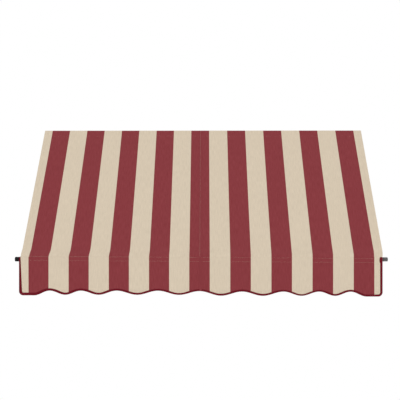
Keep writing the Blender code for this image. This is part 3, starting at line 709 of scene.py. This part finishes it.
def make_cover():
    """The slope with its head pocket, and the lip with the front rod's sleeve."""
    cover_path, sleeve_path, slope_from, split_at = cover_paths()
    section = Section(cover_path)
    sleeve = Section(sleeve_path, section.length[-1])
    across = cover_places()
    inside = CLOTH / 2
    pieces, threads = [], []
    for name, low, high in (
        ("canvas_slope", slope_from, split_at),
        ("canvas_lip", split_at, len(cover_path) - 1),
    ):
        sheet = Sheet()
        if name == "canvas_slope":
            section.strip(sheet, across, 0, high)
            cut_notches(sheet)
        else:
            section.strip(sheet, across, low, high)
            sleeve.strip(sheet, across)
        for side in (-1, 1):
            edges = sorted((side * HALF_COVER, side * (HALF_COVER - SIDE_HEM)))
            section.strip(sheet, places(*edges, HEM_ACROSS_STEP), low, high, -LAYER)
        lap = places(SEAM_X - LAP / 2, SEAM_X + LAP / 2, LAP_ACROSS_STEP)
        section.strip(sheet, lap, low, high, LAYER)
        piece = sheet.piece(name, MATERIALS["striped_canvas"])
        pieces.append(piece)

        start, end = section.length[low], section.length[high]
        stitches = []
        for side in (-1, 1):
            x = side * (HALF_COVER - SIDE_HEM + HEM_STITCH)
            stitches += along_cover(section, x, start, end, inside)
        x = SEAM_X - LAP / 2 + HEM_STITCH
        stitches += along_cover(section, x, start, end, LAYER + inside)
        if name == "canvas_slope":
            stitches += across_cover(section, start + SEAM_FROM_HEAD, inside - POCKET_SUNK)
        threads.append(thread_piece(
            name.replace("canvas", "thread"), stitches, PALE
        ))
    for piece in (pieces[0], threads[0]):
        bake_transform(piece)
    for piece in (pieces[1], threads[1]):
        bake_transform(piece)
    for piece in pieces:
        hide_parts("cover")


def hem_height(x):
    """The valance's lower edge, below the front rod's axis, at a place along it."""
    place = x - HEM_CENTRE
    blend = part_way(place, -LOBES[0] / 2, LOBES[0] / 2)
    level = -HEM_LOW - HEM_STEP * (blend * blend * (3.0 - 2.0 * blend) - 0.5)
    place = abs(place)
    crest = 0.0
    for lobe in LOBES:
        if place <= crest + lobe:
            turn = (place - crest) / lobe
            return level + HEM_WAVE * (1.0 + math.cos(2.0 * math.pi * turn)) / 2
        crest += lobe
    turn = min(1.0, (place - crest) / END_LOBE_HALF)
    drop = HEM_WAVE + END_LOBE_DROP
    return level - END_LOBE_DROP + drop * (1.0 + math.cos(math.pi * turn)) / 2


def edge_height(x):
    """The valance's lower edge with its round corners."""
    turn = min(max(x, VALANCE_LEFT + CORNER_RADIUS), VALANCE_RIGHT - CORNER_RADIUS)
    into = min(CORNER_RADIUS, abs(x - turn))
    return hem_height(turn) + CORNER_RADIUS - math.sqrt(CORNER_RADIUS ** 2 - into ** 2)


def valance_places():
    """Places across the valance, close together in the lobes and closer in the corners."""
    turns = [math.pi / 2 * i / CORNER_STEPS for i in range(CORNER_STEPS + 1)]
    into = [CORNER_RADIUS * (1.0 - math.sin(turn)) for turn in turns]
    left = [VALANCE_LEFT + away for away in into[::-1]]
    right = [VALANCE_RIGHT - away for away in into]
    return left + places(left[-1], right[0], VALANCE_STEP)[1:-1] + right


def sway(x, depth):
    """How far the hanging valance stands off its plane, which grows towards its hem."""
    free = max(0.0, depth - SWAY_FROM) / SWAY_DEPTH
    size, turns, phase = SWAY
    fine, fine_turns = SWAY_FINE
    broad = size * free * free * math.sin(turns * x + phase)
    return broad + fine * free * math.sin(fine_turns * x)


def valance_place(x, z, lift=0.0):
    """A point of the valance, z above the front rod's axis, lifted towards the front."""
    y = (VALANCE_FACE + VALANCE_BACK) / 2
    return (x, y + sway(x, -z) - lift, FRONT[1] + z)


def valance_rim():
    """The bound edge from the top left corner round to the top right one, as (x, z)."""
    xs = valance_places()
    rim = [(xs[0], z) for z in places(VALANCE_TOP, edge_height(xs[0]), TAPE_STEP)[:-1]]
    rim += [(x, edge_height(x)) for x in xs]
    rim += [(xs[-1], z) for z in places(edge_height(xs[-1]), VALANCE_TOP, TAPE_STEP)[1:]]
    return rim


def make_valance():
    """The valance strip, the tape folded over its edge, and the stitching."""
    xs = valance_places()
    sheet = Sheet()
    grid = []
    for j in range(VALANCE_ROWS + 1):
        row = []
        for x in xs:
            z = VALANCE_TOP + (edge_height(x) - VALANCE_TOP) * j / VALANCE_ROWS
            row.append((valance_place(x, z), (x, -z)))
        grid.append(row)
    sheet.grid(grid)
    lap = places(SEAM_X - LAP / 2, SEAM_X + LAP / 2, LAP_ACROSS_STEP)
    sheet.grid([
        [(valance_place(x, z, LAYER), (x, -z)) for x in lap]
        for z in places(VALANCE_TOP, edge_height(SEAM_X) + LAP_SHORT, FINE_STEP)
    ])
    canvas = sheet.piece("canvas_valance", MATERIALS["striped_canvas"])

    inside = CLOTH / 2
    stitches = []
    for height in (TOP_STITCH, BOTTOM_STITCH):
        for x in np.arange(VALANCE_LEFT + STITCH_PITCH, VALANCE_RIGHT, STITCH_PITCH):
            z = height + STITCH_SKEW * x
            point = np.array(valance_place(x, z, inside - SLEEVE_SUNK))
            stitches.append((point, (1.0, 0.0, STITCH_SKEW), (0.0, -1.0, 0.0)))
    seams = thread_piece("thread_valance", stitches, PALE)

    x = SEAM_X - LAP / 2 + HEM_STITCH
    lap_end = edge_height(x) + HEM_TAPE[0][1]
    lap_stitches = []
    for z in np.arange(VALANCE_TOP - STITCH_PITCH, lap_end, -STITCH_PITCH):
        point = np.array(valance_place(x, z, LAYER + inside))
        lap_stitches.append((point, (0.0, 0.0, -1.0), (0.0, -1.0, 0.0)))
    tape, tape_thread = make_tape(lap_stitches)
    for piece in (canvas, seams, tape, tape_thread):
        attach(piece, "front_bar")
    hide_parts("valance")
    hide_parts("valance_binding")


def tape_width(x, z, sideways):
    """The tape's width at a place on the rim, which faces so far sideways."""
    low = min(1.0, (VALANCE_TOP - z) / (VALANCE_TOP + HEM_LOW))
    side = RIGHT_TAPE if x > 0 else LEFT_TAPE[0] + (LEFT_TAPE[1] - LEFT_TAPE[0]) * low
    hem = float(np.interp(x, *zip(*HEM_TAPE)))
    wide = hem + (side - hem) * part_way(abs(sideways), SIDE_FROM, SIDE_FULL)
    down = (VALANCE_TOP - z) / TAPE_END
    if down < 1.0 and x > 0:
        return wide + TAPE_BULGE * math.sqrt(1.0 - (2.0 * down - 1.0) ** 2)
    if down < 1.0:
        return wide * (TAPE_NARROW + (1.0 - TAPE_NARROW) * math.sin(math.pi / 2 * down))
    return wide


def make_tape(stitches):
    """The binding: a tape folded over the valance's edge, with its row of stitches.

    The stitches given join that row's piece, since they are sewn in the same burgundy thread."""
    rim = np.array(valance_rim())
    ahead = np.vstack([rim[1:], rim[-1:]]) - np.vstack([rim[:1], rim[:-1]])
    ahead /= np.linalg.norm(ahead, axis=1)[:, None]
    outward = np.stack([ahead[:, 1], -ahead[:, 0]], axis=1)
    length = np.concatenate([[0.0], np.cumsum(np.linalg.norm(np.diff(rim, axis=0), axis=1))])
    half = CLOTH / 2 + TAPE * TAPE_OFF
    width = [tape_width(x, z, nx) for (x, z), (nx, _) in zip(rim, outward)]
    sheet = Sheet()
    grid = []
    for (x, z), (nx, nz), s, wide in zip(rim, outward, length, width):
        section = [(-wide, half), (-wide / 2, half)]
        section += [(out, half * share) for out, share in TAPE_FOLD]
        section += [(out, -lift) for out, lift in section[-2::-1]]
        row = []
        around = 0.0
        for k, (out, lift) in enumerate(section):
            if k:
                around += math.dist(section[k], section[k - 1])
            row.append((valance_place(x + nx * out, z + nz * out, lift), (around, s)))
        grid.append(row)
    sheet.grid(grid)
    tape = sheet.piece("valance_tape", MATERIALS["burgundy_tape"], TAPE)
    for s in np.arange(STITCH_PITCH, length[-1], STITCH_PITCH):
        i = int(np.clip(np.searchsorted(length, s) - 1, 0, len(rim) - 2))
        t = (s - length[i]) / (length[i + 1] - length[i])
        x, z = rim[i] * (1 - t) + rim[i + 1] * t
        nx, nz = outward[i] * (1 - t) + outward[i + 1] * t
        out = TAPE_STITCH - (width[i] * (1 - t) + width[i + 1] * t)
        for sign in (-1, 1):
            lift = sign * (half + TAPE / 2)
            point = np.array(valance_place(x + nx * out, z + nz * out, lift))
            stitches.append((point, (ahead[i][0], 0.0, ahead[i][1]), (0.0, -sign, 0.0)))
    return tape, thread_piece("thread_tape", stitches, RED)


def make_floor():
    """A plain white floor, far below the awning."""
    bpy.ops.mesh.primitive_plane_add(size=FLOOR_SIZE, location=(0.0, 0.0, FLOOR_Z))
    floor = bpy.context.object
    floor.name = "floor"
    material = bpy.data.materials.new("floor_white")
    material.use_nodes = True
    tree = material.node_tree
    shader = tree.nodes["Principled BSDF"]
    shader.inputs["Base Color"].default_value = (FLOOR_WHITE, FLOOR_WHITE, FLOOR_WHITE, 1.0)
    shader.inputs["Roughness"].default_value = 0.9
    light = tree.nodes.new("ShaderNodeEmission")
    path = tree.nodes.new("ShaderNodeLightPath")
    mix = tree.nodes.new("ShaderNodeMixShader")
    tree.links.new(path.outputs["Is Camera Ray"], mix.inputs[0])
    tree.links.new(shader.outputs[0], mix.inputs[1])
    tree.links.new(light.outputs[0], mix.inputs[2])
    tree.links.new(mix.outputs[0], tree.nodes["Material Output"].inputs["Surface"])
    floor.data.materials.append(material)
    floor.visible_glossy = False


def make_light():
    """A white surround, a banded one that only reflections see, and one soft lamp in front."""
    world = bpy.data.worlds.new("studio")
    world.use_nodes = True
    bpy.context.scene.world = world
    tree = world.node_tree
    tree.nodes.clear()
    out = tree.nodes.new("ShaderNodeOutputWorld")
    path = tree.nodes.new("ShaderNodeLightPath")
    place = tree.nodes.new("ShaderNodeTexCoord")
    split = tree.nodes.new("ShaderNodeSeparateXYZ")
    ramp = tree.nodes.new("ShaderNodeValToRGB")
    share = tree.nodes.new("ShaderNodeMath")  # of the way from left to right
    share.operation = "MULTIPLY_ADD"
    share.inputs[1].default_value = 0.5
    share.inputs[2].default_value = 0.5
    bright = tree.nodes.new("ShaderNodeMath")
    bright.operation = "MULTIPLY"
    bright.inputs[1].default_value = GLOSS_STRENGTH
    tree.links.new(place.outputs["Generated"], split.inputs[0])
    tree.links.new(split.outputs[0], share.inputs[0])
    tree.links.new(share.outputs[0], ramp.inputs[0])
    tree.links.new(ramp.outputs[0], bright.inputs[0])
    stops = ramp.color_ramp.elements
    while len(stops) < len(GLOSS):
        stops.new(0.5)
    for stop, (side, value) in zip(stops, GLOSS):
        stop.position = (side + 1.0) / 2
        stop.color = (value, value, value, 1.0)

    def surround(strength):
        node = tree.nodes.new("ShaderNodeBackground")
        node.inputs["Color"].default_value = (1.0, 1.0, 1.0, 1.0)
        if isinstance(strength, float):
            node.inputs["Strength"].default_value = strength
        else:
            tree.links.new(strength, node.inputs["Strength"])
        return node.outputs[0]

    def choose(test, first, second):
        node = tree.nodes.new("ShaderNodeMixShader")
        tree.links.new(test, node.inputs[0])
        tree.links.new(first, node.inputs[1])
        tree.links.new(second, node.inputs[2])
        return node.outputs[0]

    lit = choose(path.outputs["Is Glossy Ray"], surround(WORLD), surround(bright.outputs[0]))
    seen = choose(path.outputs["Is Camera Ray"], lit, surround(1.0))
    tree.links.new(seen, out.inputs["Surface"])
    lamp = bpy.data.lights.new("front_soft", "AREA")
    lamp.shape = "RECTANGLE"
    lamp.size, lamp.size_y = LAMP_SIZE
    lamp.energy = LAMP_POWER
    obj = bpy.data.objects.new("front_soft", lamp)
    obj.location = LAMP_PLACE
    aim = Vector((0.0, FRONT[0], FRONT[1] / 2)) - Vector(LAMP_PLACE)
    obj.rotation_euler = aim.to_track_quat("-Z", "Y").to_euler()
    obj.visible_camera = False
    obj.visible_glossy = False
    bpy.context.scene.collection.objects.link(obj)


def make_camera():
    """The photograph's viewpoint: level, in front of the awning and a little above the rod."""
    data = bpy.data.cameras.new("photo_camera")
    data.sensor_width = SENSOR
    data.lens = FOCAL_PX / PHOTO_SIZE * data.sensor_width
    camera = bpy.data.objects.new("photo_camera", data)
    yaw = math.atan((CENTRE_X - PHOTO_SIZE / 2) / FOCAL_PX)
    pitch = math.atan((HORIZON_Y - PHOTO_SIZE / 2) / FOCAL_PX)
    camera.location = (CAMERA_RIGHT, VALANCE_FACE - CAMERA_BACK, FRONT[1] + CAMERA_UP)
    camera.rotation_euler = (math.pi / 2 + pitch, 0.0, yaw)
    bpy.context.scene.collection.objects.link(camera)
    bpy.context.scene.camera = camera


dress_cad_nodes()
make_cover()
make_valance()
make_floor()
make_light()
make_camera()
bpy.context.scene.view_settings.view_transform = "Standard"
bpy.context.view_layer.update()
